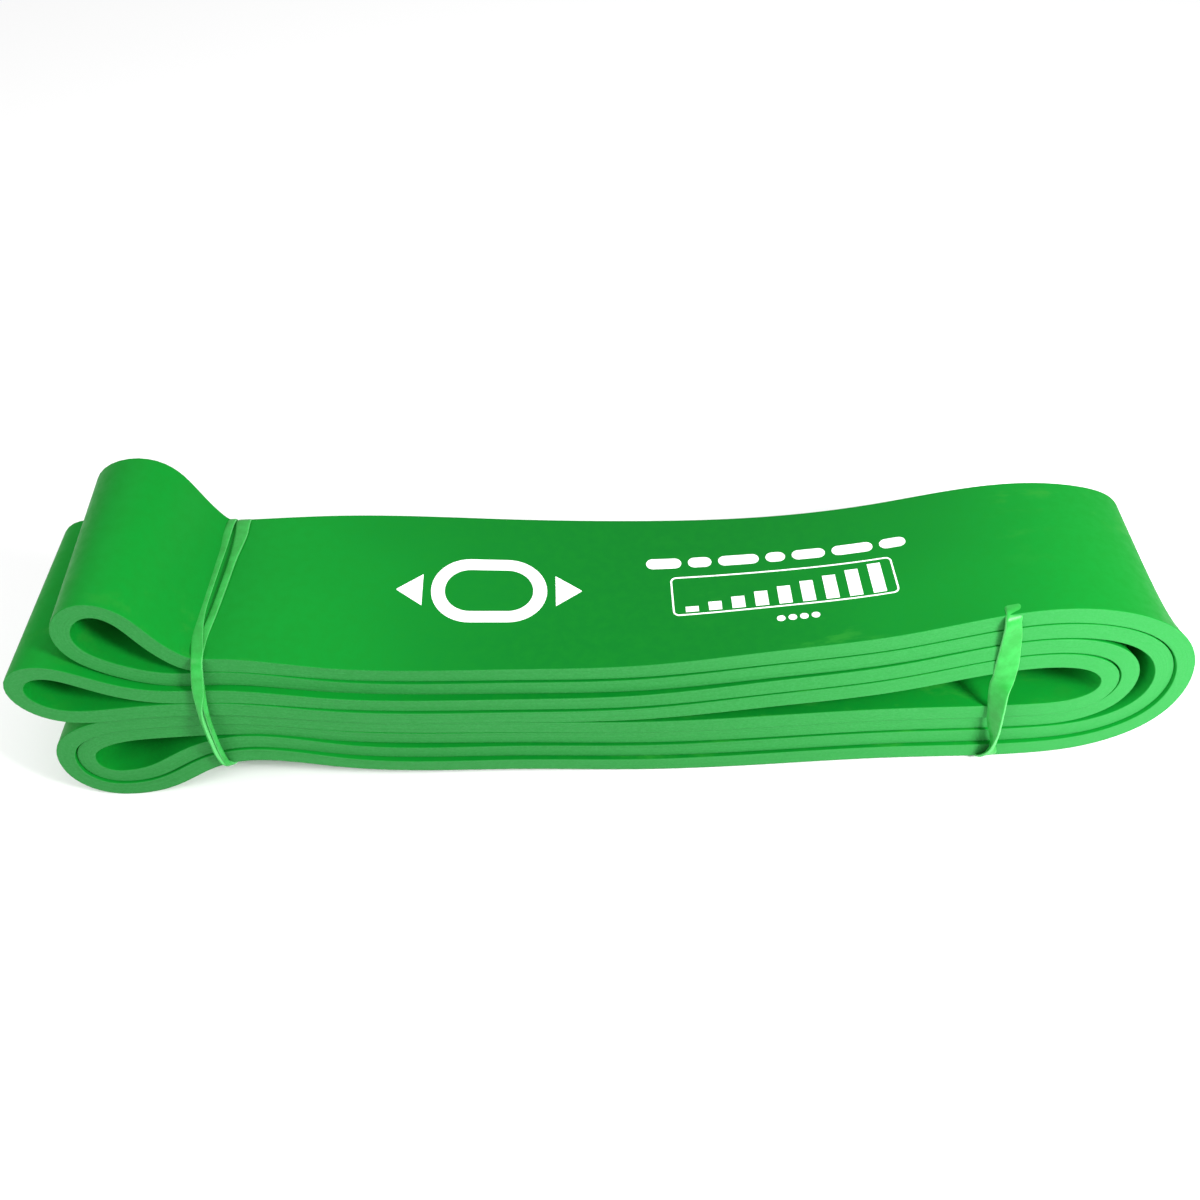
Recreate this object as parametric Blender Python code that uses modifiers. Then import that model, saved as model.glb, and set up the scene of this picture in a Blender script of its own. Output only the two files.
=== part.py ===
"""Loop resistance band, folded flat into a stack and held by two elastic ties.

The band is one endless strip of layered latex. It runs to and fro along X eight
times, so its cut edges show the whole fold: four nested turns at the right end,
and at the left end a top loop, a middle loop and two nested lower loops.
Lengths are written in millimetres and multiplied by MM.
"""
from math import cos, hypot, pi, radians, sin, tanh

import bpy
from mathutils import Vector

MM = 0.001

# Band: an endless strip, about 2.09 m round.
BAND_WIDTH = 45.0
BAND_THICKNESS = 4.3
LAYER_GAP = 0.38
LAYER_COUNT = 8
LAYER_PITCH = BAND_THICKNESS + LAYER_GAP

# The stack of straight runs, from left to right:
# (x, height of the underside, extra space between the fourth and fifth runs).
STACK_STATIONS = (
    (-88.0, 9.2, 0.0),
    (-80.0, 8.5, 0.0),
    (-54.0, 5.8, 0.0),
    (-24.0, 2.6, 0.3),
    (6.0, 0.6, 1.0),
    (36.0, 0.2, 2.6),
    (66.0, 1.5, 5.4),
    (84.0, 1.6, 8.2),
    (98.0, 1.6, 10.2),
)
UPPER_HALF = LAYER_COUNT // 2

# Right-hand turns: (upper run, lower run) -> reach beyond the last station.
TURN_REACH = {(1, 8): 32.0, (2, 7): 27.3, (3, 6): 20.1, (4, 5): 15.4}
TURN_POINTS = 9
TURN_SQUARENESS = 2.25

# Left-hand loops: centre-line points (x, z) from the upper run round to the lower one.
TOP_LOOP = (
    (-91.4, 44.7), (-94.8, 47.6), (-97.8, 51.8), (-100.6, 56.4), (-103.8, 60.4),
    (-108.8, 62.6), (-113.8, 60.9), (-116.4, 55.8), (-115.0, 50.1), (-110.6, 46.1),
    (-104.0, 42.8), (-96.0, 40.2),
)
MIDDLE_LOOP = (
    (-96.0, 35.1), (-103.0, 36.9), (-110.8, 40.4), (-117.6, 44.0), (-124.0, 45.7),
    (-129.2, 44.0), (-131.3, 39.6), (-129.6, 34.9), (-124.4, 31.6), (-116.0, 30.4),
    (-105.0, 30.6), (-96.0, 30.3),
)
OUTER_LOOP = (
    (-96.0, 25.6), (-106.0, 25.8), (-115.0, 25.4), (-122.0, 23.1), (-126.6, 18.8),
    (-128.0, 13.2), (-126.6, 7.6), (-122.0, 3.5), (-115.0, 2.2), (-107.6, 3.8),
    (-101.0, 7.6), (-95.0, 10.7),
)
INNER_LOOP = (
    (-96.0, 20.9), (-106.0, 21.1), (-113.6, 20.5), (-119.2, 18.3), (-122.6, 14.7),
    (-122.7, 10.8), (-119.8, 8.1), (-115.2, 7.1), (-109.8, 8.8), (-103.6, 12.8),
    (-96.4, 15.6),
)
SPLINE_STEPS = 5

# Ties: latex elastics stretched round the stack. A tie's skew is how far its
# front lies from its middle along X.
TIE_CLEARANCE = 0.45
LEFT_TIE_X = -88.4
LEFT_TIE_SKEW = -1.2
LEFT_TIE_DIAMETER = 2.0
LEFT_TIE_SPREAD = 1.6
LEFT_TIE_TOP = 47.5
LEFT_TIE_BOTTOM = 8.3
LEFT_TIE_STEPS = 96
CROSSING_STEEPNESS = 2.5
LIFT_START, LIFT_FULL = 0.78, 0.92
RIGHT_TIE_X = 87.2
RIGHT_TIE_WIDTH = 5.0
RIGHT_TIE_THICKNESS = 1.2
RIGHT_TIE_TOP = 48.4
CORNER_RADIUS = 1.4
CORNER_STEPS = 6

# Colours: linear red, green, blue, and roughness.
BAND_GREEN = (0.008, 0.340, 0.038)
TIE_GREEN = (0.036, 0.600, 0.080)
LATEX_ROUGHNESS = 0.5
ELASTIC_ROUGHNESS = 0.4


def clear_scene():
    """Remove every object of the scene that Blender opened with."""
    for existing in list(bpy.data.objects):
        bpy.data.objects.remove(existing, do_unlink=True)


def make_collection(name):
    """A collection under the scene's own."""
    collection = bpy.data.collections.new(name)
    bpy.context.scene.collection.children.link(collection)
    return collection


def make_latex(name, colour, roughness):
    """A plain latex finish."""
    material = bpy.data.materials.new(name)
    material.use_nodes = True
    shader = material.node_tree.nodes["Principled BSDF"]
    shader.inputs["Base Color"].default_value = (*colour, 1.0)
    shader.inputs["Roughness"].default_value = roughness
    shader.inputs["Metallic"].default_value = 0.0
    return material


def run_height(layer, underside, extra):
    """Centre-line height of a run where the stack has this underside and spread."""
    height = underside + BAND_THICKNESS / 2 + (LAYER_COUNT - layer) * LAYER_PITCH
    return height + (extra if layer <= UPPER_HALF else 0.0)


def run_right(layer):
    """Points of one run, from left to right."""
    return [(x, run_height(layer, underside, extra)) for x, underside, extra in STACK_STATIONS]


def run_left(layer):
    """Points of one run, from right to left."""
    return run_right(layer)[::-1]


def turn_down(upper, lower):
    """Points of a right-hand turn between its ends, from the upper run to the lower."""
    x, underside, extra = STACK_STATIONS[-1]
    top = run_height(upper, underside, extra)
    bottom = run_height(lower, underside, extra)
    middle, rise = (top + bottom) / 2, (top - bottom) / 2
    power = 2 / TURN_SQUARENESS
    points = []
    for step in range(1, TURN_POINTS):
        angle = pi / 2 - pi * step / TURN_POINTS
        height = abs(sin(angle)) ** power * (1 if angle > 0 else -1)
        points.append((x + TURN_REACH[upper, lower] * cos(angle) ** power, middle + rise * height))
    return points


def turn_up(upper, lower):
    """The same turn, from the lower run to the upper."""
    return turn_down(upper, lower)[::-1]


def fold_path():
    """The whole closed centre-line of the folded strip, in the XZ plane."""
    return (
        run_left(1) + list(TOP_LOOP)
        + run_right(2) + turn_down(2, 7)
        + run_left(7) + list(INNER_LOOP[::-1])
        + run_right(6) + turn_up(3, 6)
        + run_left(3) + list(MIDDLE_LOOP)
        + run_right(4) + turn_down(4, 5)
        + run_left(5) + list(OUTER_LOOP)
        + run_right(8) + turn_up(1, 8)
    )


def add_curve(name, collection, material, flat):
    """An empty curve object; a flat one is drawn in its local XY plane."""
    curve = bpy.data.curves.new(name, "CURVE")
    curve.dimensions = "2D" if flat else "3D"
    curve.fill_mode = "NONE" if flat else "FULL"
    curve.render_resolution_u = 0
    curve.materials.append(material)
    piece = bpy.data.objects.new(name, curve)
    collection.objects.link(piece)
    return piece


def add_closed_poly(curve, points):
    """A closed spline of straight pieces through points given in millimetres."""
    spline = curve.splines.new("POLY")
    spline.points.add(len(points) - 1)
    spline.use_cyclic_u = True
    for target, point in zip(spline.points, points):
        target.co = (*(Vector(point) * MM), 1.0)


def thicken(piece, thickness):
    """Give a ribbon its thickness, half to each side."""
    solidify = piece.modifiers.new("Thickness", "SOLIDIFY")
    solidify.thickness = thickness * MM
    solidify.offset = 0.0
    solidify.use_even_offset = True


def make_band(collection):
    """The folded strip: its centre-line as a smooth closed ribbon with thickness."""
    latex = make_latex("band_latex", BAND_GREEN, LATEX_ROUGHNESS)
    band = add_curve("band_loop", collection, latex, flat=True)
    band.data.resolution_u = SPLINE_STEPS
    band.data.extrude = BAND_WIDTH / 2 * MM
    path = fold_path()
    spline = band.data.splines.new("BEZIER")
    spline.bezier_points.add(len(path) - 1)
    spline.use_cyclic_u = True
    for target, (x, z) in zip(spline.bezier_points, path):
        target.co = (x * MM, z * MM, 0.0)
        target.handle_left_type = target.handle_right_type = "AUTO"
    band.rotation_euler = (radians(90), 0.0, 0.0)
    thicken(band, BAND_THICKNESS)
    return band


def rounded_outline(corners, radius):
    """A closed outline through corners in the plane, each rounded by an arc."""
    outline = []
    for index, corner in enumerate(corners):
        before = Vector(corners[index - 1]) - Vector(corner)
        after = Vector(corners[(index + 1) % len(corners)]) - Vector(corner)
        start, end = before.normalized() * radius, after.normalized() * radius
        for step in range(CORNER_STEPS + 1):
            angle = pi / 2 * step / CORNER_STEPS
            blend = start * (1 - sin(angle)) + end * (1 - cos(angle))
            outline.append(tuple(Vector(corner) + blend))
    return outline


def resample(outline, count):
    """Evenly spaced points along a closed outline."""
    lengths = [hypot(b[0] - a[0], b[1] - a[1]) for a, b in zip(outline, outline[1:] + outline[:1])]
    total, points, index, passed = sum(lengths), [], 0, 0.0
    for step in range(count):
        target = total * step / count
        while passed + lengths[index] < target:
            passed += lengths[index]
            index += 1
        start, end = Vector(outline[index]), Vector(outline[(index + 1) % len(outline)])
        points.append(start.lerp(end, (target - passed) / lengths[index]))
    return points


def crossing_lift(phase):
    """How far the outer strand stands off the inner one where the two cross."""
    rise = (sin(phase) - LIFT_START) / (LIFT_FULL - LIFT_START)
    return (LEFT_TIE_DIAMETER + TIE_CLEARANCE) * min(1.0, max(0.0, rise))


def make_left_tie(collection):
    """A thin elastic that goes round the stack twice and crosses itself in front."""
    latex = make_latex("left_tie_latex", TIE_GREEN, ELASTIC_ROUGHNESS)
    tie = add_curve("left_tie", collection, latex, flat=False)
    tie.data.bevel_depth = LEFT_TIE_DIAMETER / 2 * MM
    tie.data.bevel_resolution = 2
    radius = LEFT_TIE_DIAMETER / 2
    side = BAND_WIDTH / 2 + TIE_CLEARANCE + radius
    top, bottom = LEFT_TIE_TOP + TIE_CLEARANCE + radius, LEFT_TIE_BOTTOM - TIE_CLEARANCE - radius
    corners = ((side, bottom), (-side, bottom), (-side, top), (side, top))
    turn_steps = LEFT_TIE_STEPS // 2
    one_turn = resample(rounded_outline(corners, CORNER_RADIUS), turn_steps)
    middle = Vector((0.0, (top + bottom) / 2))
    path = []
    for step in range(LEFT_TIE_STEPS):
        place = one_turn[step % turn_steps]
        phase = pi * step / turn_steps
        lift = crossing_lift(phase)
        outward = (place - middle).normalized() * lift
        across = LEFT_TIE_SPREAD * tanh(CROSSING_STEEPNESS * cos(phase))
        x = LEFT_TIE_X - LEFT_TIE_SKEW * place.x / side + across
        path.append((x, place.x + outward.x, place.y + outward.y))
    add_closed_poly(tie.data, path)
    return tie


def make_right_tie(collection):
    """A flat elastic stretched square round the stack."""
    latex = make_latex("right_tie_latex", TIE_GREEN, ELASTIC_ROUGHNESS)
    tie = add_curve("right_tie", collection, latex, flat=True)
    tie.data.extrude = RIGHT_TIE_WIDTH / 2 * MM
    half = RIGHT_TIE_THICKNESS / 2
    side = BAND_WIDTH / 2 + TIE_CLEARANCE + half
    top = RIGHT_TIE_TOP + half
    outline = rounded_outline(((-side, top), (side, top), (side, half), (-side, half)), CORNER_RADIUS)
    add_closed_poly(tie.data, [(y, z, 0.0) for y, z in outline])
    tie.location = (RIGHT_TIE_X * MM, 0.0, 0.0)
    tie.rotation_euler = (radians(90), 0.0, radians(90))
    thicken(tie, RIGHT_TIE_THICKNESS)
    return tie


def main():
    clear_scene()
    collection = make_collection("resistance_band")
    make_band(collection)
    make_left_tie(collection)
    make_right_tie(collection)


main()
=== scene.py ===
"""Looks of the folded loop resistance band and its two elastic ties.

Lengths are written in millimetres and multiplied by MM. X runs along the stack of
runs, Y across the strip (front at -Y), Z up. The strip is described by its front
edge; its lean says how much farther along X and Z the back edge lies.
"""

from math import cos, pi, radians, sin

import bpy
import numpy as np
from mathutils import Matrix, Vector


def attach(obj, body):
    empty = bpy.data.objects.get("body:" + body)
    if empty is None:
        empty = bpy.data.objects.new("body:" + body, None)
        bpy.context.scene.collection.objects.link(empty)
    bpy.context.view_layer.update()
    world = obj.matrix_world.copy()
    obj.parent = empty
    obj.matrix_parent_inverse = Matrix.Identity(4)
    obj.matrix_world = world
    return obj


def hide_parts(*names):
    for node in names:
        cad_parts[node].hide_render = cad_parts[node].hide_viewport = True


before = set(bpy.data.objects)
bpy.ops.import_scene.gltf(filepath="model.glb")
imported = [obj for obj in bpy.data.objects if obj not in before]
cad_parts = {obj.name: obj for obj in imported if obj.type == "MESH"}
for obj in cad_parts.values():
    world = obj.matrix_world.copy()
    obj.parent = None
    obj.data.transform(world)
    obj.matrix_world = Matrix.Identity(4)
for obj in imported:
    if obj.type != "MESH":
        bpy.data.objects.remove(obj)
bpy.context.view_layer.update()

MM = 0.001

# Strip.
WIDTH = 45.0
THICKNESS = 4.3
LAYERS = 8
UPPER_HALF = LAYERS // 2
EDGE_RADIUS = 0.18
ACROSS_STEPS, THICK_STEPS, ARC_STEPS = 18, 4, 3
# How sharply the cut edge's colour ends at the rounded corner.
EDGE_SHARPNESS = 4
STRIP_SAMPLES = 1500
# The spline is first followed at this many places for each sample.
FINE_PER_SAMPLE = 8
SMOOTHING_PASSES = 2

# Stack, left to right: x, underside at the front edge, space between the fourth
# and fifth runs.
STATIONS = (
    (-88.0, 11.0, 0.0),
    (-64.0, 6.5, 0.0),
    (-24.0, 3.0, 0.0),
    (6.0, 1.0, 1.0),
    (36.0, 1.0, 3.5),
    (66.0, 1.5, 6.5),
    (98.0, 1.0, 12.5),
)
# The runs' backs stand highest left of the middle and dip at the right: x and degrees.
TILTS = ((-88.0, 0.0), (-56.0, 8.0), (6.0, 3.5), (36.0, -1.0), (98.0, -3.5))
# The lower runs share the tilt on the left and lie level on the right, between these x.
LEVEL_FROM, LEVEL_BY = 0.0, 80.0
# The layers press closer together at the right end.
PITCH_LEFT, PITCH_RIGHT = 4.4, 4.32
# How far each run's front edge sits back from the front plane, at its left and right ends.
SETBACKS = {
    1: (0.5, 1.5), 2: (0.5, 1.0), 3: (-1.0, 0.5), 4: (-1.0, 0.0),
    5: (0.0, 0.0), 6: (0.5, 0.5), 7: (0.0, 0.0), 8: (-0.5, -1.0),
}

# Right-hand turns: (upper run, lower run) -> reach beyond the last station.
TURN_REACH = {(1, 8): 32.0, (2, 7): 27.4, (3, 6): 19.9, (4, 5): 15.4}
TURN_POINTS = 9
TURN_SQUARENESS = 2.25
# Lean along X of a turn's back edge, at shares of the way from its top to its bottom.
TURN_LEAN_AT = (0.0, 0.22, 0.5, 0.8, 1.0)
TURN_LEANS = (0.0, 1.2, -5.2, -2.5, 0.0)
# How far a turn is drawn in behind its front edge, and the share of the width over
# which it is drawn in.
TURN_PINCH = 2.6
PINCH_SHARE = 0.14

# Left-hand loops: front-edge centre-line (x, z) and the back edge's lean along X and Z,
# from the upper run to the lower.
TOP_LOOP = (
    (-91.6, 44.4, 1.0, 0.0), (-95.0, 47.0, 2.0, 0.3), (-98.1, 50.9, 2.8, 0.8),
    (-100.9, 55.8, 3.2, 1.5), (-104.2, 60.3, 3.2, 2.2), (-109.0, 62.4, 2.2, 2.2),
    (-114.0, 60.3, 0.2, 2.0), (-116.5, 55.0, 0.0, 1.0), (-115.0, 49.4, 0.3, 0.6),
    (-110.6, 45.3, 0.4, 0.3), (-104.0, 41.8, 0.2, 0.1), (-96.0, 39.7, 0.0, 0.0),
)
MIDDLE_LOOP = (
    (-96.0, 35.5, 0.2, 0.0), (-103.0, 36.4, 0.8, 0.6), (-110.8, 39.2, 1.6, 1.4),
    (-117.6, 43.0, 2.2, 2.2), (-124.0, 45.4, 2.4, 2.4), (-129.3, 44.1, 2.5, 2.1),
    (-131.4, 39.7, 2.6, 1.4), (-129.6, 34.8, 2.2, 0.7), (-124.2, 31.1, 1.6, 0.3),
    (-116.0, 30.2, 0.8, 0.2), (-105.0, 31.0, 0.4, 0.0), (-96.0, 31.1, 0.0, 0.0),
)
OUTER_LOOP = (
    (-96.0, 26.5, 0.0, 0.0), (-106.0, 26.2, 0.4, 0.2), (-115.0, 25.4, 0.8, 0.5),
    (-122.0, 23.0, 1.2, 0.6), (-126.8, 18.8, 1.6, 0.6), (-128.2, 13.2, 1.6, 0.5),
    (-126.8, 7.4, 1.4, 0.4), (-122.0, 3.2, 1.0, 0.4), (-115.0, 2.3, 0.8, 0.3),
    (-107.6, 4.0, 0.6, 0.2), (-101.0, 7.7, 0.3, 0.1), (-95.0, 11.2, 0.0, 0.0),
)
INNER_LOOP = (
    (-96.0, 22.1, 0.0, 0.0), (-105.8, 21.85, 0.4, 0.2), (-114.1, 21.1, 0.8, 0.5),
    (-119.9, 19.1, 1.2, 0.6), (-123.1, 16.4, 1.5, 0.6), (-123.85, 13.2, 1.6, 0.5),
    (-123.05, 9.8, 1.4, 0.4), (-120.2, 7.3, 1.0, 0.4), (-115.2, 6.7, 0.8, 0.3),
    (-109.2, 8.1, 0.5, 0.2), (-103.3, 11.5, 0.2, 0.1), (-97.0, 15.1, 0.0, 0.0),
)


def run_nodes(layer, to_right=True):
    """One straight run: rows of x, z, lean in x, lean in z, setback and pinch."""
    rows = []
    left, right = STATIONS[0][0], STATIONS[-1][0]
    for x, underside, extra in STATIONS:
        pitch, setback = (
            np.interp(x, (left, right), ends) for ends in ((PITCH_LEFT, PITCH_RIGHT), SETBACKS[layer])
        )
        z = underside + THICKNESS / 2 + (LAYERS - layer) * pitch
        tilt = np.interp(x, *zip(*TILTS))
        if layer <= UPPER_HALF:
            z += extra
        else:
            tilt *= np.interp(x, (LEVEL_FROM, LEVEL_BY), (1.0, 0.0))
        rows.append((x, z, 0.0, WIDTH * sin(radians(tilt)), setback, 0.0))
    return rows if to_right else rows[::-1]


def loop_nodes(points, start_layer, end_layer):
    """A left-hand loop from one run's left end to another's."""
    start, end = SETBACKS[start_layer][0], SETBACKS[end_layer][0]
    shares = (np.arange(len(points)) + 0.5) / len(points)
    return [(*point, start + (end - start) * share, 0.0) for point, share in zip(points, shares)]


def turn_nodes(upper, lower):
    """A right-hand turn between its ends, from the upper run down to the lower."""
    first, last = run_nodes(upper)[-1], run_nodes(lower)[-1]
    middle, rise = (first[1] + last[1]) / 2, (first[1] - last[1]) / 2
    power = 2 / TURN_SQUARENESS
    rows = []
    for step in range(1, TURN_POINTS):
        share = step / TURN_POINTS
        angle = pi / 2 - pi * share
        bulge = cos(angle) ** power
        height = abs(sin(angle)) ** power * (1 if angle > 0 else -1)
        lean_z = first[3] + (last[3] - first[3]) * share
        setback = first[4] + (last[4] - first[4]) * share
        rows.append((
            first[0] + TURN_REACH[upper, lower] * bulge, middle + rise * height,
            np.interp(share, TURN_LEAN_AT, TURN_LEANS), lean_z, setback, TURN_PINCH * bulge,
        ))
    return rows


def strip_nodes():
    """The whole closed path of the folded strip."""
    return np.array(
        run_nodes(5, False) + loop_nodes(OUTER_LOOP, 5, 8)
        + run_nodes(8) + turn_nodes(1, 8)[::-1]
        + run_nodes(1, False) + loop_nodes(TOP_LOOP, 1, 2)
        + run_nodes(2) + turn_nodes(2, 7)
        + run_nodes(7, False) + loop_nodes(INNER_LOOP[::-1], 7, 6)
        + run_nodes(6) + turn_nodes(3, 6)[::-1]
        + run_nodes(3, False) + loop_nodes(MIDDLE_LOOP, 3, 4)
        + run_nodes(4) + turn_nodes(4, 5)
    )


def closed_spline(nodes, count):
    """Evenly spaced points on a smooth closed curve through the nodes.

    The columns after the second are carried along with the first two.
    """
    after = np.roll(nodes, -1, axis=0)
    steps = np.hypot(*(after - nodes)[:, :2].T)
    knots = np.concatenate(([0.0], np.cumsum(steps)))
    before_steps = np.roll(steps, 1)
    total = len(nodes)
    system = np.zeros((total, total))
    rows = np.arange(total)
    system[rows, rows] = 2 * (before_steps + steps)
    system[rows, (rows - 1) % total] += steps
    system[rows, (rows + 1) % total] += before_steps
    slopes = (after - nodes) / steps[:, None]
    before_slopes = np.roll(slopes, 1, axis=0)
    target = 3 * (steps[:, None] * before_slopes + before_steps[:, None] * slopes)
    tangents = np.linalg.solve(system, target)

    fine = np.linspace(0.0, knots[-1], FINE_PER_SAMPLE * count, endpoint=False)
    curve = hermite(nodes, tangents, steps, knots, fine)
    lengths = np.hypot(*(np.roll(curve, -1, axis=0) - curve)[:, :2].T)
    travelled = np.concatenate(([0.0], np.cumsum(lengths)))
    even = np.linspace(0.0, travelled[-1], count, endpoint=False)
    return hermite(nodes, tangents, steps, knots, np.interp(even, travelled[:-1], fine))


def hermite(nodes, tangents, steps, knots, places):
    """Values of the piecewise cubic curve at the given places."""
    index = np.clip(np.searchsorted(knots, places, side="right") - 1, 0, len(nodes) - 1)
    following = (index + 1) % len(nodes)
    width = steps[index][:, None]
    t = (places - knots[index])[:, None] / width
    return (
        nodes[index] * (1 + 2 * t) * (1 - t) ** 2
        + nodes[following] * t * t * (3 - 2 * t)
        + tangents[index] * width * t * (1 - t) ** 2
        - tangents[following] * width * t * t * (1 - t)
    )


def smooth_closed(rows, passes):
    """Each row averaged with its neighbours a few times."""
    for _ in range(passes):
        rows = (np.roll(rows, 1, axis=0) + 2 * rows + np.roll(rows, -1, axis=0)) / 4
    return rows


def unit(vectors):
    """Vectors scaled to length one."""
    return vectors / np.linalg.norm(vectors, axis=-1, keepdims=True)


def rounded_section(width, thickness, radius, across_steps, thick_steps, arc_steps):
    """A rounded rectangle as (across, out, normal across, normal out), anticlockwise."""
    half_w, half_t = width / 2 - radius, thickness / 2 - radius
    rows = []
    corners = (
        (half_w, half_t, 0.0), (-half_w, half_t, 90.0),
        (-half_w, -half_t, 180.0), (half_w, -half_t, 270.0),
    )
    for index, (across, out, start) in enumerate(corners):
        for step in range(arc_steps + 1):
            angle = radians(start + 90.0 * step / arc_steps)
            rows.append((across + radius * cos(angle), out + radius * sin(angle), cos(angle), sin(angle)))
        last = rows[-1]
        following = corners[(index + 1) % 4]
        end_angle = radians(start + 90.0)
        end = (following[0] + radius * cos(end_angle), following[1] + radius * sin(end_angle))
        inner = across_steps if index % 2 == 0 else thick_steps
        for step in range(1, inner):
            share = step / inner
            rows.append((
                last[0] + (end[0] - last[0]) * share, last[1] + (end[1] - last[1]) * share,
                cos(end_angle), sin(end_angle),
            ))
    return np.array(rows)


def tube_faces(rings, ring_size, seam_shift=0):
    """Quads joining closed rings into a closed loop; the last ring may join on shifted."""
    ring, point = np.meshgrid(np.arange(rings), np.arange(ring_size), indexing="ij")
    ring, point = ring.ravel(), point.ravel()
    next_ring, next_point = (ring + 1) % rings, (point + 1) % ring_size
    shift = seam_shift * (ring == rings - 1)
    return np.stack([
        ring * ring_size + point, ring * ring_size + next_point,
        next_ring * ring_size + (next_point + shift) % ring_size,
        next_ring * ring_size + (point + shift) % ring_size,
    ], axis=1)


def mesh_piece(name, points, faces, material, normals=None):
    """An object from points in millimetres and equal-sided faces, shaded smooth."""
    sides = faces.shape[1]
    mesh = bpy.data.meshes.new(name)
    mesh.vertices.add(len(points))
    mesh.vertices.foreach_set("co", (points * MM).astype(np.float32).ravel())
    mesh.loops.add(faces.size)
    mesh.loops.foreach_set("vertex_index", faces.astype(np.int32).ravel())
    mesh.polygons.add(len(faces))
    mesh.polygons.foreach_set("loop_start", np.arange(0, faces.size, sides, dtype=np.int32))
    mesh.update(calc_edges=True)
    mesh.validate()
    mesh.shade_smooth()
    if normals is not None:
        mesh.normals_split_custom_set_from_vertices(normals.astype(np.float32).tolist())
    mesh.materials.append(material)
    piece = bpy.data.objects.new(name, mesh)
    bpy.context.scene.collection.objects.link(piece)
    return piece


class Strip:
    """The strip's middle surface: points, directions and arc length along it."""

    def __init__(self):
        path = smooth_closed(closed_spline(strip_nodes(), STRIP_SAMPLES), SMOOTHING_PASSES)
        x, z, lean_x, lean_z, setback, self.pinch = path.T
        depth = np.sqrt(WIDTH ** 2 - lean_x ** 2 - lean_z ** 2)
        front_y = setback - depth / 2
        self.front = np.stack([x, front_y, z], axis=1)
        self.across = np.stack([lean_x, depth, lean_z], axis=1) / WIDTH
        forward = np.roll(self.front, -1, axis=0) - np.roll(self.front, 1, axis=0)
        forward -= self.across * np.sum(forward * self.across, axis=1, keepdims=True)
        self.along = unit(forward)
        self.out = np.cross(self.along, self.across)
        steps = np.linalg.norm(np.roll(self.front, -1, axis=0) - self.front, axis=1)
        self.travelled = np.concatenate(([0.0], np.cumsum(steps)[:-1]))


def make_band(strip, material):
    """The strip as a solid with slightly rounded cut edges."""
    section = rounded_section(WIDTH, THICKNESS, EDGE_RADIUS, ACROSS_STEPS, THICK_STEPS, ARC_STEPS)
    across, out = section[:, 0] + WIDTH / 2, section[:, 1]
    points = (
        strip.front[:, None] + strip.across[:, None] * across[None, :, None]
        + strip.out[:, None] * out[None, :, None]
    )
    normals = (
        strip.across[:, None] * section[None, :, 2, None] + strip.out[:, None] * section[None, :, 3, None]
    )
    share = across / WIDTH
    fading = np.exp(-share / PINCH_SHARE)
    points[..., 0] -= strip.pinch[:, None] * ((1 - share) * (1 - fading))[None, :]
    slope = strip.pinch[:, None] * (fading * (1 + (1 - share) / PINCH_SHARE) - 1)[None, :] / WIDTH
    normals = unit(normals + strip.across[:, None] * (normals[..., 0] * slope)[..., None])
    faces = tube_faces(STRIP_SAMPLES, len(section))
    band = mesh_piece("folded_band", points.reshape(-1, 3), faces, material, normals.reshape(-1, 3))
    edge = np.abs(section[:, 2]) ** EDGE_SHARPNESS
    add_attribute(band, "cut_edge", np.tile(edge, STRIP_SAMPLES))
    add_attribute(band, "height_in_edge", np.tile(out / THICKNESS, STRIP_SAMPLES))
    add_attribute(band, "along_strip", np.repeat(strip.travelled * MM, len(section)))
    return band


def add_attribute(piece, name, values):
    """A number at each vertex, for the material."""
    attribute = piece.data.attributes.new(name, "FLOAT", "POINT")
    attribute.data.foreach_set("value", values.astype(np.float32))


# --- Materials -------------------------------------------------------------------

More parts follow.
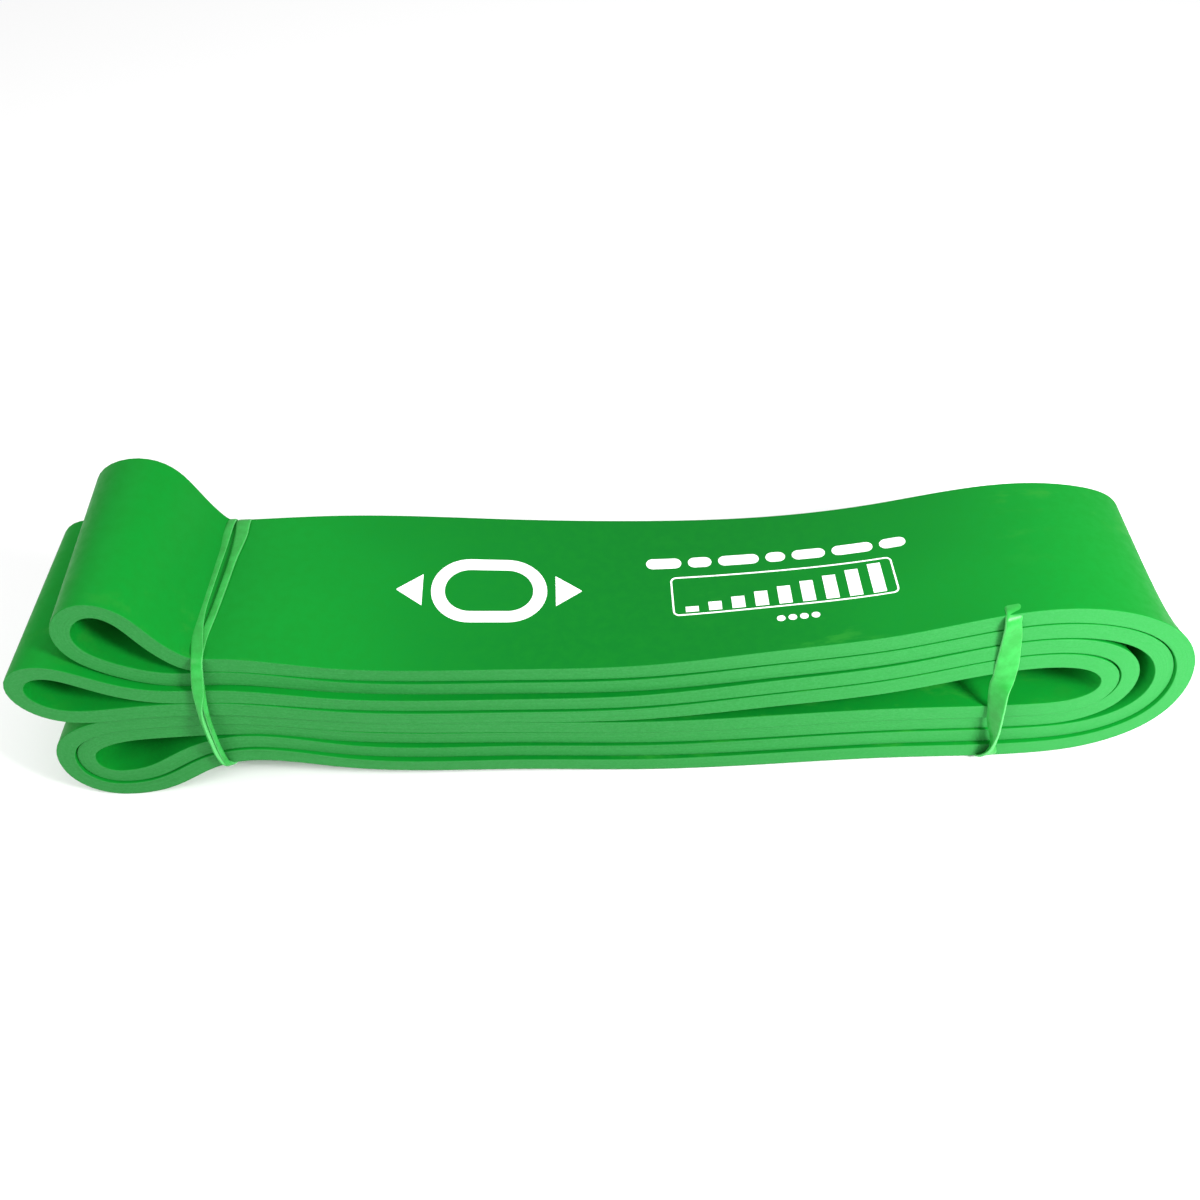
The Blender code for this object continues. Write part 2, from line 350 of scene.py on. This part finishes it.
class Nodes:
    """A material's node tree, with short calls to add and join nodes."""

    def __init__(self, name):
        self.material = bpy.data.materials.new(name)
        self.material.use_nodes = True
        self.tree = self.material.node_tree
        self.shader = self.tree.nodes["Principled BSDF"]

    def add(self, kind, settings=None, **inputs):
        """A node; settings are its properties and inputs its sockets' values or links."""
        node = self.tree.nodes.new(kind)
        for key, value in (settings or {}).items():
            setattr(node, key, value)
        for key, value in inputs.items():
            self.join(value, node.inputs[key.replace("_", " ")])
        return node

    def join(self, value, socket):
        """Link an output to a socket, or set the socket's own value."""
        if isinstance(value, bpy.types.NodeSocket):
            self.tree.links.new(value, socket)
        else:
            socket.default_value = value

    def number(self, operation, first, second=0.0, clamp=False):
        """A sum, product or other operation on two numbers."""
        node = self.add("ShaderNodeMath", {"operation": operation, "use_clamp": clamp})
        self.join(first, node.inputs[0])
        self.join(second, node.inputs[1])
        return node.outputs[0]

    def ramp(self, value, low, high, low_out=0.0, high_out=1.0):
        """A number mapped from one range to another, clamped."""
        node = self.add("ShaderNodeMapRange", {"interpolation_type": "SMOOTHSTEP"})
        for socket, number in zip(node.inputs, (value, low, high, low_out, high_out)):
            self.join(number, socket)
        return node.outputs[0]

    def mix(self, factor, first, second):
        """A colour between two."""
        node = self.add("ShaderNodeMix", {"data_type": "RGBA"})
        self.join(factor, node.inputs[0])
        self.join(first, node.inputs[6])
        self.join(second, node.inputs[7])
        return node.outputs[2]

    def noise(self, vector, scale, detail=2.0, roughness=0.5):
        """A noise value from 0 to 1."""
        node = self.add(
            "ShaderNodeTexNoise", None,
            Vector=vector, Scale=scale, Detail=detail, Roughness=roughness,
        )
        return node.outputs[0]

    def stretched(self, vector, scale):
        """Coordinates scaled by different amounts along each axis."""
        node = self.add("ShaderNodeVectorMath", {"operation": "MULTIPLY"})
        self.join(vector, node.inputs[0])
        self.join(scale, node.inputs[1])
        return node.outputs[0]

    def attribute(self, name):
        """A number stored at the vertices."""
        return self.add("ShaderNodeAttribute", {"attribute_name": name}).outputs["Fac"]

    def finish(self, colour, roughness, height, bump_distance):
        """Join colour, roughness and bump to the shader."""
        self.join(colour, self.shader.inputs["Base Color"])
        self.join(roughness, self.shader.inputs["Roughness"])
        bump = self.add("ShaderNodeBump", None, Height=height, Distance=bump_distance)
        self.tree.links.new(bump.outputs[0], self.shader.inputs["Normal"])
        return self.material


BAND_DARK = (0.0014, 0.140, 0.0125, 1.0)
BAND_LIGHT = (0.0028, 0.212, 0.019, 1.0)
BAND_YELLOWISH = (0.0055, 0.176, 0.013, 1.0)
BAND_SMUDGE = (0.0200, 0.225, 0.022, 1.0)
CUT_DARK = (0.0150, 0.165, 0.028, 1.0)
CUT_LIGHT = (0.0270, 0.220, 0.047, 1.0)
# Paler colour of the painted light on the cut faces towards the right end.
CUT_PAINTED_LIGHT = (0.0290, 0.265, 0.054, 1.0)
CUT_GRAIN = (0.0450, 0.270, 0.075, 1.0)
# Where along the run the painted shade on the top face is darkest, in metres.
PAINTED_SHADE_DARKEST_X = 0.015


def band_latex():
    """Satin green latex, lighter and finely lined where it was cut, with painted shade along the middle
    of the top face and painted light on the cut faces towards the right.
    """
    nodes = Nodes("band_latex")
    place = nodes.add("ShaderNodeTexCoord").outputs["Object"]
    edge = nodes.attribute("cut_edge")
    lines_at = nodes.add(
        "ShaderNodeCombineXYZ", None,
        X=nodes.attribute("along_strip"), Y=nodes.attribute("height_in_edge"), Z=0.0,
    ).outputs[0]
    lines = nodes.noise(nodes.stretched(lines_at, (9.0, 11.0, 1.0)), 1.0, 3.0, 0.6)
    blotches = nodes.noise(nodes.stretched(place, (14.0, 22.0, 22.0)), 1.0, 2.0, 0.5)
    mottle = nodes.noise(place, 420.0, 3.0, 0.6)
    axis_x = nodes.add("ShaderNodeSeparateXYZ", None, Vector=place).outputs[0]
    from_middle = nodes.number("ABSOLUTE", nodes.number("SUBTRACT", axis_x, PAINTED_SHADE_DARKEST_X))
    # Painted shade: the top face is painted darker along the middle of the run for the shade there, on
    # top of random blotches of tone.
    blotches_and_painted_shade = nodes.number(
        "ADD", nodes.number("MULTIPLY", blotches, 0.6), nodes.ramp(from_middle, 0.01, 0.105, -0.25, 0.6))
    face = nodes.mix(nodes.ramp(blotches_and_painted_shade, 0.0, 0.95), BAND_DARK, BAND_LIGHT)
    face = nodes.mix(nodes.ramp(mottle, 0.3, 0.75, 0.0, 0.3), face, BAND_YELLOWISH)
    smudge = nodes.noise(nodes.stretched(place, (70.0, 170.0, 170.0)), 1.0, 4.0, 0.65)
    patches = nodes.ramp(nodes.noise(place, 18.0, 1.0), 0.52, 0.66, 0.0, 0.55)
    smudged = nodes.number("MULTIPLY", nodes.ramp(smudge, 0.52, 0.68), patches)
    face = nodes.mix(smudged, face, BAND_SMUDGE)
    grain = nodes.noise(nodes.stretched(place, (1500.0, 1500.0, 1900.0)), 1.0, 2.0, 0.7)
    cut = nodes.mix(nodes.ramp(lines, 0.2, 0.8, 0.2, 0.8), CUT_DARK, CUT_LIGHT)
    # Painted light: the cut faces are painted paler towards the right end, where the key light falls.
    cut = nodes.mix(nodes.ramp(axis_x, 0.0, 0.12, 0.0, 0.8), cut, CUT_PAINTED_LIGHT)
    cut = nodes.mix(nodes.ramp(grain, 0.35, 0.8, 0.0, 0.35), cut, CUT_GRAIN)
    colour = nodes.mix(edge, face, cut)
    roughness = nodes.ramp(mottle, 0.3, 0.7, 0.40, 0.50)
    ground = nodes.number(
        "ADD", nodes.number("MULTIPLY", lines, 0.5), nodes.number("MULTIPLY", grain, 0.35))
    height = nodes.number(
        "ADD", nodes.number("MULTIPLY", ground, edge), nodes.number("MULTIPLY", mottle, 0.22))
    material = nodes.finish(colour, roughness, height, 0.0001)
    nodes.shader.inputs["Specular IOR Level"].default_value = 0.05
    return material


TIE_COLOUR = (0.011, 0.260, 0.027, 1.0)
TIE_LIGHT = (0.022, 0.335, 0.048, 1.0)
# Whitish colour of the painted highlight along the ties' edges.
TIE_PAINTED_HIGHLIGHT = (0.130, 0.540, 0.170, 1.0)


def tie_latex():
    """Brighter, slightly translucent latex of the ties, with a painted highlight along their edges."""
    nodes = Nodes("tie_latex")
    place = nodes.add("ShaderNodeTexCoord").outputs["Object"]
    mottle = nodes.noise(place, 300.0, 3.0, 0.6)
    colour = nodes.mix(nodes.ramp(mottle, 0.3, 0.7), TIE_COLOUR, TIE_LIGHT)
    # Painted highlight: the ties' edges are painted whitish for the light caught by their rolled edges.
    colour = nodes.mix(nodes.ramp(nodes.attribute("painted_edge_highlight"), 0.55, 0.95, 0.0, 0.6), colour, TIE_PAINTED_HIGHLIGHT)
    material = nodes.finish(colour, nodes.ramp(mottle, 0.3, 0.7, 0.34, 0.44), mottle, 0.0001)
    nodes.shader.inputs["Specular IOR Level"].default_value = 0.25
    return material


INK_WORN = (0.78, 0.84, 0.79, 1.0)
INK_WHITE = (0.86, 0.90, 0.87, 1.0)


def print_ink():
    """Flat white ink."""
    nodes = Nodes("print_ink")
    place = nodes.add("ShaderNodeTexCoord").outputs["Object"]
    wear = nodes.noise(place, 900.0, 2.0, 0.5)
    colour = nodes.mix(nodes.ramp(wear, 0.25, 0.6), INK_WORN, INK_WHITE)
    material = nodes.finish(colour, 0.6, wear, 0.00002)
    nodes.shader.inputs["Specular IOR Level"].default_value = 0.2
    return material


# --- Ties ------------------------------------------------------------------------

# Points go round the stack: x, y, z, width, thickness and twist in degrees.
RIGHT_TIE = (
    (88.2, 22.9, 43.65, 4.6, 0.7, 0), (88.2, 14.0, 44.15, 5.0, 0.7, 0),
    (88.2, 1.0, 44.95, 5.4, 0.7, 0), (88.1, -9.5, 45.6, 5.2, 0.8, 0),
    (88.4, -15.8, 46.1, 4.3, 1.0, 12), (88.0, -20.0, 46.5, 3.7, 1.1, 0),
    (87.7, -21.5, 45.4, 3.8, 1.0, -14), (88.1, -21.9, 41.5, 4.6, 0.8, -12),
    (88.3, -22.2, 37.0, 5.0, 0.8, -6), (88.4, -22.6, 32.6, 5.3, 0.8, 0),
    (88.3, -22.9, 28.4, 5.0, 0.8, 10), (87.8, -23.4, 25.4, 4.8, 0.8, 34),
    (87.9, -24.3, 19.5, 4.4, 0.8, 46), (88.5, -24.8, 12.0, 3.6, 0.9, 62),
    (88.9, -25.0, 8.4, 2.8, 1.0, 90), (88.9, -24.8, 5.4, 3.8, 0.9, 128),
    (88.7, -24.2, 2.4, 4.8, 0.8, 168), (88.5, -22.6, 0.75, 4.8, 0.6, 180),
    (88.4, -8.0, 0.7, 4.8, 0.6, 180), (88.3, 8.0, 0.7, 4.8, 0.6, 180),
    (88.2, 22.0, 0.75, 4.8, 0.6, 180), (88.2, 24.4, 2.4, 4.8, 0.7, 180),
    (88.2, 24.7, 14.0, 4.8, 0.8, 180), (88.2, 24.7, 28.0, 4.8, 0.8, 180),
    (88.2, 24.5, 41.8, 4.8, 0.7, 180),
)
LEFT_TIE = (
    (-89.2, 22.7, 46.1, 1.8, 0.9, 0), (-90.0, 12.0, 46.3, 1.9, 0.9, 0),
    (-90.8, 0.0, 46.4, 2.0, 1.0, 0), (-91.1, -9.0, 46.5, 2.0, 1.0, 0),
    (-90.5, -16.0, 46.7, 2.5, 0.8, 0), (-89.6, -21.2, 46.7, 2.6, 0.8, 0),
    (-89.7, -23.1, 45.3, 2.5, 0.8, 0), (-90.9, -24.4, 38.5, 2.5, 0.8, 0),
    (-92.1, -24.8, 31.0, 1.1, 1.0, 30), (-92.3, -24.7, 22.0, 1.0, 1.0, 50),
    (-92.1, -24.4, 15.0, 1.1, 1.0, 50), (-91.5, -23.8, 11.6, 1.4, 1.0, 30),
    (-90.8, -21.5, 10.0, 2.0, 0.9, 0), (-89.0, 0.0, 9.9, 2.0, 0.9, 0),
    (-87.2, 20.8, 10.0, 2.0, 0.9, 0), (-86.8, 23.6, 12.4, 2.0, 0.9, 0),
    (-86.4, 23.9, 28.0, 2.0, 0.9, 0), (-86.0, 23.9, 43.4, 2.6, 0.9, 0),
    (-86.3, 22.5, 46.1, 3.2, 0.7, 0), (-86.2, 17.0, 46.4, 2.9, 0.8, 0),
    (-86.8, 9.0, 46.4, 1.7, 1.0, 0), (-87.5, 0.0, 46.4, 1.5, 1.0, 0),
    (-88.4, -9.0, 46.3, 1.5, 1.0, 0), (-89.3, -16.0, 46.1, 1.7, 0.8, 0),
    (-89.3, -21.4, 46.0, 1.6, 0.7, 0), (-89.4, -22.7, 44.6, 1.5, 0.7, 0),
    (-90.1, -23.9, 38.5, 1.3, 0.8, -20), (-90.8, -24.7, 31.0, 1.0, 1.0, -40),
    (-91.1, -24.6, 22.0, 0.95, 1.0, -50), (-91.0, -24.3, 15.0, 1.1, 1.0, -50),
    (-90.7, -23.7, 11.4, 1.4, 1.0, -30), (-90.2, -21.5, 9.6, 2.0, 0.9, 0),
    (-89.6, 0.0, 9.5, 2.0, 0.9, 0), (-89.2, 20.8, 9.6, 2.0, 0.9, 0),
    (-89.2, 23.8, 12.2, 2.0, 0.9, 0), (-89.1, 24.0, 28.0, 2.0, 0.9, 0),
    (-89.1, 24.0, 43.4, 2.0, 0.9, 0),
)
TIE_SAMPLES_PER_NODE = 12
TIE_RING_POINTS = 20
# Column of a tie's twist.
TWIST = 5
# Below 1, a tie's section is squarer than an ellipse.
SECTION_SQUARENESS = 0.45
# How narrowly the painted highlight keeps to a tie's edges.
PAINTED_HIGHLIGHT_SHARPNESS = 6


def closed_route(nodes, per_node, full_twist):
    """A smooth closed curve through nodes in space, with their other values.

    The twist may end a whole number of half turns from where it starts.
    """
    nodes = np.array(nodes, float)
    nodes[:, TWIST] -= full_twist * np.arange(len(nodes)) / len(nodes)
    steps = np.linalg.norm((np.roll(nodes, -1, axis=0) - nodes)[:, :3], axis=1) ** 0.5
    before, after = np.roll(nodes, 1, axis=0), np.roll(nodes, -1, axis=0)
    before_steps = np.roll(steps, 1)[:, None]
    after_steps = steps[:, None]
    tangents = (
        (nodes - before) / before_steps * after_steps + (after - nodes) / after_steps * before_steps
    ) / (before_steps + after_steps)
    knots = np.concatenate(([0.0], np.cumsum(steps)))
    places = np.concatenate([
        knots[i] + steps[i] * np.arange(per_node) / per_node for i in range(len(nodes))
    ])
    route = hermite(nodes, tangents, steps, knots, places)
    route[:, TWIST] += full_twist * np.arange(len(route)) / len(route)
    return route


def make_tie(name, nodes, material, half_turns):
    """A flat elastic swept along its closed route, lying flat where its twist is 0."""
    route = closed_route(nodes, TIE_SAMPLES_PER_NODE, 180.0 * half_turns)
    points, width, thick, twist = route[:, :3], route[:, 3], route[:, 4], np.radians(route[:, TWIST])
    along = unit(np.roll(points, -1, axis=0) - np.roll(points, 1, axis=0))
    side = np.array([1.0, 0.0, 0.0]) - along * along[:, :1]
    side = unit(side)
    out = np.cross(side, along)
    centre = points.mean(axis=0)
    outward = np.sign(np.sum(out * (points - centre), axis=1).sum())
    out = out * outward
    across = side * np.cos(twist)[:, None] + out * np.sin(twist)[:, None]
    face = out * np.cos(twist)[:, None] - side * np.sin(twist)[:, None]
    angles = np.linspace(0.0, 2 * pi, TIE_RING_POINTS, endpoint=False)
    round_x = np.sign(np.cos(angles)) * np.abs(np.cos(angles)) ** SECTION_SQUARENESS
    round_y = np.sign(np.sin(angles)) * np.abs(np.sin(angles)) ** SECTION_SQUARENESS
    rings = (
        points[:, None]
        + across[:, None] * (width[:, None] / 2 * round_x[None, :])[..., None]
        + face[:, None] * (thick[:, None] / 2 * round_y[None, :])[..., None]
    )
    faces = tube_faces(len(points), TIE_RING_POINTS, half_turns * TIE_RING_POINTS // 2)
    tie = mesh_piece(name, rings.reshape(-1, 3), faces, material)
    add_attribute(tie, "painted_edge_highlight", np.tile(np.abs(round_x) ** PAINTED_HIGHLIGHT_SHARPNESS, len(points)))
    return tie


# --- Printed marks ----------------------------------------------------------------

INK_THICKNESS = 0.05
INK_STEP = 0.8
CAP_STEPS = 6
# The top run is the only one going left that lies above this height between these x.
PRINT_RUN_ABOVE = 33.5
PRINT_RUN_X = (-60.0, 74.0)
LEFTWARD = -0.9
# Narrowest half width at a rounded end.
CAP_TIP = 0.02

# The loop: opposite corners, corner radius and line width.
PRINT_LOOP = ((-41.0, -8.4), (-14.0, 10.1), 9.2, 3.2)
# Arrowheads: x of the base and of the tip.
ARROWS = {"left": (-43.0, -49.0), "right": (-12.0, -6.0)}
ARROW_Y = 0.85
ARROW_WIDTH, ARROW_TIP = 9.0, 0.3
# The frame: opposite corners, corner radius and line width.
PRINT_FRAME = ((15.0, -7.8), (66.6, 4.3), 1.5, 0.4)
DASHES = (
    (9.6, 18.0), (19.6, 25.2), (26.8, 36.4), (38.0, 42.6),
    (44.2, 52.0), (53.6, 63.2), (64.8, 70.9),
)
DASH_Y, DASH_WIDTH = 8.85, 3.2
LEVELS = 9
LEVEL_X, LEVEL_PITCH, LEVEL_WIDTH = 19.5, 5.35, 3.0
LEVEL_FOOT, LEVEL_TOP, LEVEL_RISE = -6.8, -5.2, 1.0
DOTS = 4
DOT_X, DOT_PITCH, DOT_LENGTH = 38.2, 2.6, 1.9
DOT_Y, DOT_WIDTH = -11.5, 1.7


def stroke(start, end, width, end_width=None, round_ends=True):
    """Cross-sections (x, y, side x, side y) of a straight stroke, with rounded ends or cut ones."""
    start, end = np.array(start, float), np.array(end, float)
    end_width = width if end_width is None else end_width
    length = np.linalg.norm(end - start)
    direction = (end - start) / length
    side = np.array([-direction[1], direction[0]])
    cap = width / 2 if round_ends else 0.0
    angles = np.linspace(0.0, pi / 2, CAP_STEPS + 1)
    first = cap * (1 - np.cos(angles))
    middle = np.linspace(cap, length - cap, max(2, int((length - 2 * cap) / INK_STEP)))
    places = np.concatenate((first, middle[1:-1], length - first[::-1])) if round_ends else middle
    halves = width / 2 + (end_width - width) / 2 * places / length
    if round_ends:
        halves[:CAP_STEPS + 1] = np.maximum(width / 2 * np.sin(angles), CAP_TIP)
        halves[-CAP_STEPS - 1:] = halves[:CAP_STEPS + 1][::-1]
    centres = start + direction * places[:, None]
    return centres, side[None, :] * halves[:, None]


def rounded_outline(low, high, radius, line):
    """Cross-sections of a closed line of even width round a box with round corners."""
    low, high = np.array(low) + radius, np.array(high) - radius
    centres, sides = [], []
    corners = ((high[0], high[1]), (low[0], high[1]), (low[0], low[1]), (high[0], low[1]))
    for index, corner in enumerate(corners):
        following = corners[(index + 1) % 4]
        for step in range(2 * CAP_STEPS + 1):
            angle = pi / 2 * (index + step / (2 * CAP_STEPS))
            outward = np.array([cos(angle), sin(angle)])
            centres.append(corner + outward * (radius - line / 2))
            sides.append(outward * line / 2)
        count = int(np.hypot(following[0] - corner[0], following[1] - corner[1]) / INK_STEP)
        for step in range(1, count):
            share = step / count
            centre = np.array(corner) * (1 - share) + np.array(following) * share
            centres.append(centre + outward * (radius - line / 2))
            sides.append(outward * line / 2)
    return np.array(centres), np.array(sides)


def ink_mark(name, strip, sections, material, closed=False):
    """A thin solid of ink on the top run, from its cross-sections in x and y."""
    centres, sides = sections
    on_top = (strip.front[:, 2] > PRINT_RUN_ABOVE) & (strip.along[:, 0] < LEFTWARD)
    on_top &= (strip.front[:, 0] > PRINT_RUN_X[0]) & (strip.front[:, 0] < PRINT_RUN_X[1])
    order = np.argsort(strip.front[on_top, 0])
    front, across, out = (values[on_top][order] for values in (strip.front, strip.across, strip.out))
    out = out * np.sign(out[:, 2:])

    def on_surface(flat, lift):
        x, y = flat.T
        base, over, up = (
            np.stack([np.interp(x, front[:, 0], values[:, axis]) for axis in range(3)], axis=1)
            for values in (front, across, out)
        )
        return base + over * ((y - base[:, 1]) / over[:, 1])[:, None] + up * (THICKNESS / 2 + lift)

    rings = np.stack([
        on_surface(centres + sides, INK_THICKNESS), on_surface(centres - sides, INK_THICKNESS),
        on_surface(centres - sides, -INK_THICKNESS), on_surface(centres + sides, -INK_THICKNESS),
    ], axis=1)
    faces = tube_faces(len(rings), 4)
    if not closed:
        last = 4 * (len(rings) - 1)
        faces = np.concatenate((faces[:-4], [[0, 3, 2, 1], [last, last + 1, last + 2, last + 3]]))
    mark = mesh_piece(name, rings.reshape(-1, 3), faces, material)
    mark.data.shade_flat()
    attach(mark, "band")


def make_print(strip, material):
    """Plain marks: a loop pulled both ways, dashes, and a scale of rising bars in a frame."""
    closed_marks = {
        "print_loop": rounded_outline(*PRINT_LOOP),
        "print_frame": rounded_outline(*PRINT_FRAME),
    }
    for name, sections in closed_marks.items():
        ink_mark(name, strip, sections, material, closed=True)

    open_marks = {}
    for side, (base, tip) in ARROWS.items():
        open_marks["print_arrow_" + side] = stroke(
            (base, ARROW_Y), (tip, ARROW_Y), ARROW_WIDTH, ARROW_TIP, round_ends=False)
    for index, (start, end) in enumerate(DASHES):
        open_marks["print_dash_%d" % index] = stroke((start, DASH_Y), (end, DASH_Y), DASH_WIDTH)
    for index in range(LEVELS):
        x = LEVEL_X + LEVEL_PITCH * index
        top = LEVEL_TOP + LEVEL_RISE * index
        open_marks["print_level_%d" % index] = stroke(
            (x, LEVEL_FOOT), (x, top), LEVEL_WIDTH, round_ends=False)
    for index in range(DOTS):
        x = DOT_X + DOT_PITCH * index
        open_marks["print_dot_%d" % index] = stroke((x, DOT_Y), (x + DOT_LENGTH, DOT_Y), DOT_WIDTH)
    for name, sections in open_marks.items():
        ink_mark(name, strip, sections, material)


# --- Camera, light and floor ------------------------------------------------------

# The camera's place in millimetres, its angles in degrees and its lens in millimetres.
CAMERA_PLACE = (0.0, -215.3, 256.1)
CAMERA_PITCH = 45.605
CAMERA_ROLL = -3.0
CAMERA_YAW = -0.471
CAMERA_LENS = 39.52


SENSOR_WIDTH = 36.0
NEAREST = 0.01
SURROUNDINGS = 0.8
FLOOR_GREY = 0.9
FLOOR_HALF = 3000.0
# Lights, in metres and watts: name, place, target, size and power.
LIGHTS = (
    ("key", (0.26, -0.22, 0.26), (0.08, 0.0, 0.02), 0.1, 2.5),
    ("left", (-0.32, -0.25, 0.32), (-0.05, 0.0, 0.02), 0.2, 0.75),
    ("back", (-0.2, 0.9, 1.4), (0.0, 0.1, 0.0), 1.2, 4.0),
)


def make_camera():
    """A camera looking down on the front at the viewing angle."""
    pitch, roll, yaw = radians(CAMERA_PITCH), radians(CAMERA_ROLL), radians(CAMERA_YAW)
    forward = Vector((sin(yaw) * cos(pitch), cos(yaw) * cos(pitch), -sin(pitch)))
    level = Vector((cos(yaw), -sin(yaw), 0.0))
    upright = level.cross(forward)
    right = level * cos(roll) + upright * sin(roll)
    up = upright * cos(roll) - level * sin(roll)
    data = bpy.data.cameras.new("camera")
    data.lens = CAMERA_LENS
    data.sensor_width = SENSOR_WIDTH
    data.clip_start = NEAREST
    camera = bpy.data.objects.new("camera", data)
    bpy.context.scene.collection.objects.link(camera)
    axes = Matrix((right, up, -forward)).transposed().to_4x4()
    camera.matrix_world = Matrix.Translation(Vector(CAMERA_PLACE) * MM) @ axes
    bpy.context.scene.camera = camera


def area_light(name, place, target, size, power):
    """A square soft light aimed at a point; places in metres."""
    data = bpy.data.lights.new(name, "AREA")
    data.shape = "SQUARE"
    data.size = size
    data.energy = power
    light = bpy.data.objects.new(name, data)
    light.location = place
    light.rotation_euler = (Vector(target) - Vector(place)).to_track_quat("-Z", "Y").to_euler()
    bpy.context.scene.collection.objects.link(light)


def make_studio():
    """White floor and surroundings with a soft key light from the right."""
    world = bpy.data.worlds.new("studio")
    bpy.context.scene.world = world
    world.use_nodes = True
    background = world.node_tree.nodes["Background"]
    background.inputs["Color"].default_value = (1.0, 1.0, 1.0, 1.0)
    background.inputs["Strength"].default_value = SURROUNDINGS
    for light in LIGHTS:
        area_light(*light)

    nodes = Nodes("floor")
    nodes.shader.inputs["Base Color"].default_value = (FLOOR_GREY, FLOOR_GREY, FLOOR_GREY, 1.0)
    nodes.shader.inputs["Roughness"].default_value = 1.0
    nodes.shader.inputs["Specular IOR Level"].default_value = 0.0
    corners = np.array([(-1, -1, 0), (1, -1, 0), (1, 1, 0), (-1, 1, 0)], float) * FLOOR_HALF
    floor = mesh_piece("floor", corners, np.array([[0, 1, 2, 3]]), nodes.material)
    bpy.context.scene.view_settings.view_transform = "Standard"


make_camera()
make_studio()
strip = Strip()
latex = band_latex()
band = make_band(strip, latex)
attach(band, "band")
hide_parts("band_loop")

make_print(strip, print_ink())

elastic = tie_latex()
for tie_name, tie_nodes, half_turns in (("left_tie", LEFT_TIE, 0), ("right_tie", RIGHT_TIE, 1)):
    tie = make_tie(tie_name + "_elastic", tie_nodes, elastic, half_turns)
    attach(tie, tie_name)
    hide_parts(tie_name)
